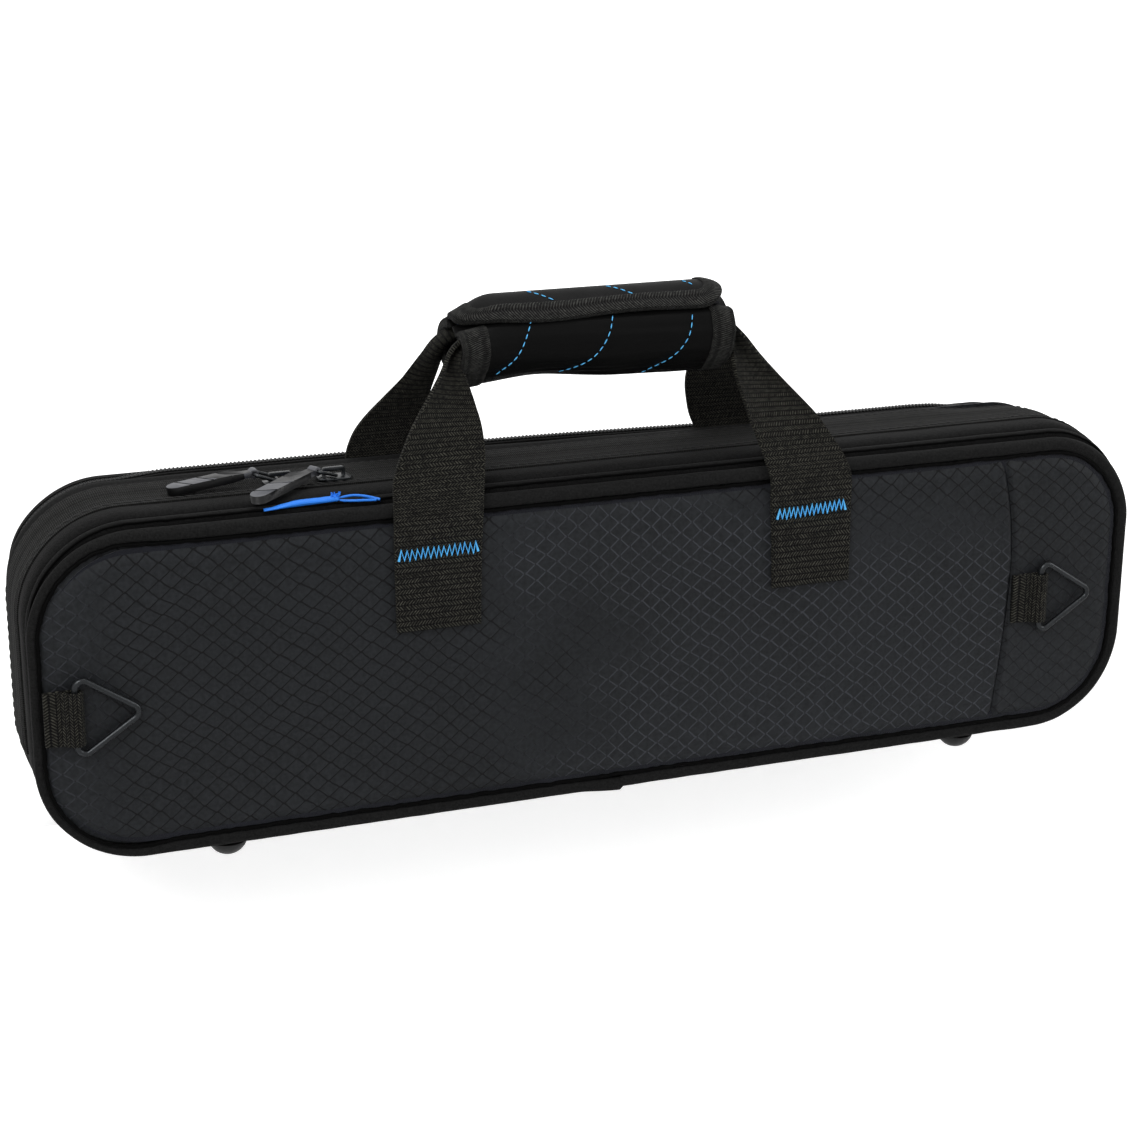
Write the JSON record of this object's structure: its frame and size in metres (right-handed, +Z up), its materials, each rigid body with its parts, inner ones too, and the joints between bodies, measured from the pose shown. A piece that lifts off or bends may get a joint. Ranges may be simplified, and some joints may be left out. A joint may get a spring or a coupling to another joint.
{
  "type": "flute case",
  "caption": "Zipped case with a stiff shell under a padded cover, paired carry handles under one wrap, side rings, a flat rear pocket and a foam tray with troughs.",
  "frame": {"origin": "centre of the bounding box at the level the feet stand on", "axes": "+X along the case to the right as seen from the front, +Y from the front panel to the back pocket, +Z up; the case stands on its feet with lid, flap and pocket shut"},
  "size_m": [0.4221, 0.0712, 0.1868],
  "materials": {
    "ripstop": "satin",
    "foam": "matte",
    "cover": "matte",
    "shell": "satin",
    "plush": "matte",
    "zip_tape": "matte",
    "zip_teeth": "gloss",
    "webbing": "matte",
    "wrap_satin": "satin",
    "binding": "matte",
    "blue_ribbon": "satin",
    "feet": "satin",
    "rivets": "satin",
    "gunmetal": "satin"
  },
  "bodies": {
    "body": {"body_shell": "shell", "body_cover": "cover", "body_foam": "foam", "body_lining": "plush", "body_zip_tape": "zip_tape", "body_zip_teeth": "zip_teeth", "body_hinge_tape": "cover", "rear_strap": "webbing", "rear_pad": "wrap_satin", "rear_binding": "binding", "rear_feet": "feet", "rear_rivets": "rivets", "back_wall": "ripstop", "pocket_tape": "cover", "pocket_teeth": "zip_teeth"},
    "lid": {"front_panel": "ripstop", "front_panel_end": "ripstop", "front_foam": "foam", "front_piping": "cover", "lid_strip": "cover", "lid_shell": "shell", "lid_cover": "cover", "lid_foam": "foam", "lid_lining": "plush", "lid_zip_tape": "zip_tape", "lid_zip_teeth": "zip_teeth", "lid_hinge_tape": "cover", "front_strap": "webbing", "handle_pad": "wrap_satin", "handle_binding": "binding", "loop_patch": "binding", "blue_loop": "blue_ribbon", "ring_tab_left": "webbing", "ring_tab_right": "webbing", "front_feet": "feet", "front_rivets": "rivets"},
    "flap": {"handle_flap": "wrap_satin", "flap_binding": "binding", "hook_patch": "binding"},
    "ring_left": {"ring_left": "gunmetal"},
    "ring_right": {"ring_right": "gunmetal"},
    "slider_left": {"slider_left": "gunmetal"},
    "slider_right": {"slider_right": "gunmetal"},
    "link_left": {"link_left": "gunmetal"},
    "link_right": {"link_right": "gunmetal"},
    "pull_left": {"pull_left": "gunmetal"},
    "pull_right": {"pull_right": "gunmetal"},
    "pocket": {"pocket_panel": "ripstop", "pocket_gusset": "cover", "pocket_piping": "cover", "pocket_panel_teeth": "zip_teeth"},
    "pocket_slider": {"pocket_slider": "gunmetal"},
    "pocket_pull": {"pocket_pull": "gunmetal"}
  },
  "joints": [
    {"name": "lid_hinge", "type": "hinge", "parent": "body", "child": "lid", "pos_m": [0, -0.0035, 0.0042], "axis": [1, 0, 0], "range_deg": [0, 140]},
    {"name": "flap_hinge", "type": "hinge", "parent": "lid", "child": "flap", "pos_m": [0, 0.00225, 0.18579], "axis": [-1, 0, 0], "range_deg": [0, 100]},
    {"name": "ring_left_swing", "type": "hinge", "parent": "lid", "child": "ring_left", "pos_m": [-0.1955, -0.03285, 0.0615], "axis": [0, 0, -1], "range_deg": [0, 160]},
    {"name": "ring_right_swing", "type": "hinge", "parent": "lid", "child": "ring_right", "pos_m": [0.17, -0.03285, 0.0615], "axis": [0, 0, -1], "range_deg": [0, 160]},
    {"name": "slider_right_slide", "type": "slide", "parent": "body", "child": "slider_right", "axis": [1, 0, 0], "range_m": [0, 0.25]},
    {"name": "slider_left_slide", "type": "slide", "parent": "body", "child": "slider_left", "axis": [1, 0, 0], "range_m": [-0.045, 0]},
    {"name": "link_left_swing", "type": "hinge", "parent": "slider_left", "child": "link_left", "pos_m": [-0.1182, -0.0035, 0.12812], "axis": [0, 1, 0], "range_deg": [0, 75]},
    {"name": "link_right_swing", "type": "hinge", "parent": "slider_right", "child": "link_right", "pos_m": [-0.0992, -0.0035, 0.12812], "axis": [-0.5299, 0.848, 0], "range_deg": [0, 75]},
    {"name": "pull_left_swing", "type": "hinge", "parent": "link_left", "child": "pull_left", "pos_m": [-0.12647, -0.0035, 0.13113], "axis": [0, 1, 0], "range_deg": [0, 40]},
    {"name": "pull_right_swing", "type": "hinge", "parent": "link_right", "child": "pull_right", "pos_m": [-0.10621, -0.00788, 0.13113], "axis": [-0.5299, 0.848, 0], "range_deg": [0, 40]},
    {"name": "pocket_hinge", "type": "hinge", "parent": "body", "child": "pocket", "pos_m": [0, 0.023, 0.00545], "axis": [-1, 0, 0], "range_deg": [0, 22]},
    {"name": "pocket_slide", "type": "slide", "parent": "body", "child": "pocket_slider", "axis": [0, 0, 1], "range_m": [0, 0.018]},
    {"name": "pocket_pull_swing", "type": "hinge", "parent": "pocket_slider", "child": "pocket_pull", "pos_m": [0.20947, 0.023, 0.06605], "axis": [0, -1, 0], "range_deg": [0, 120]}
  ]
}
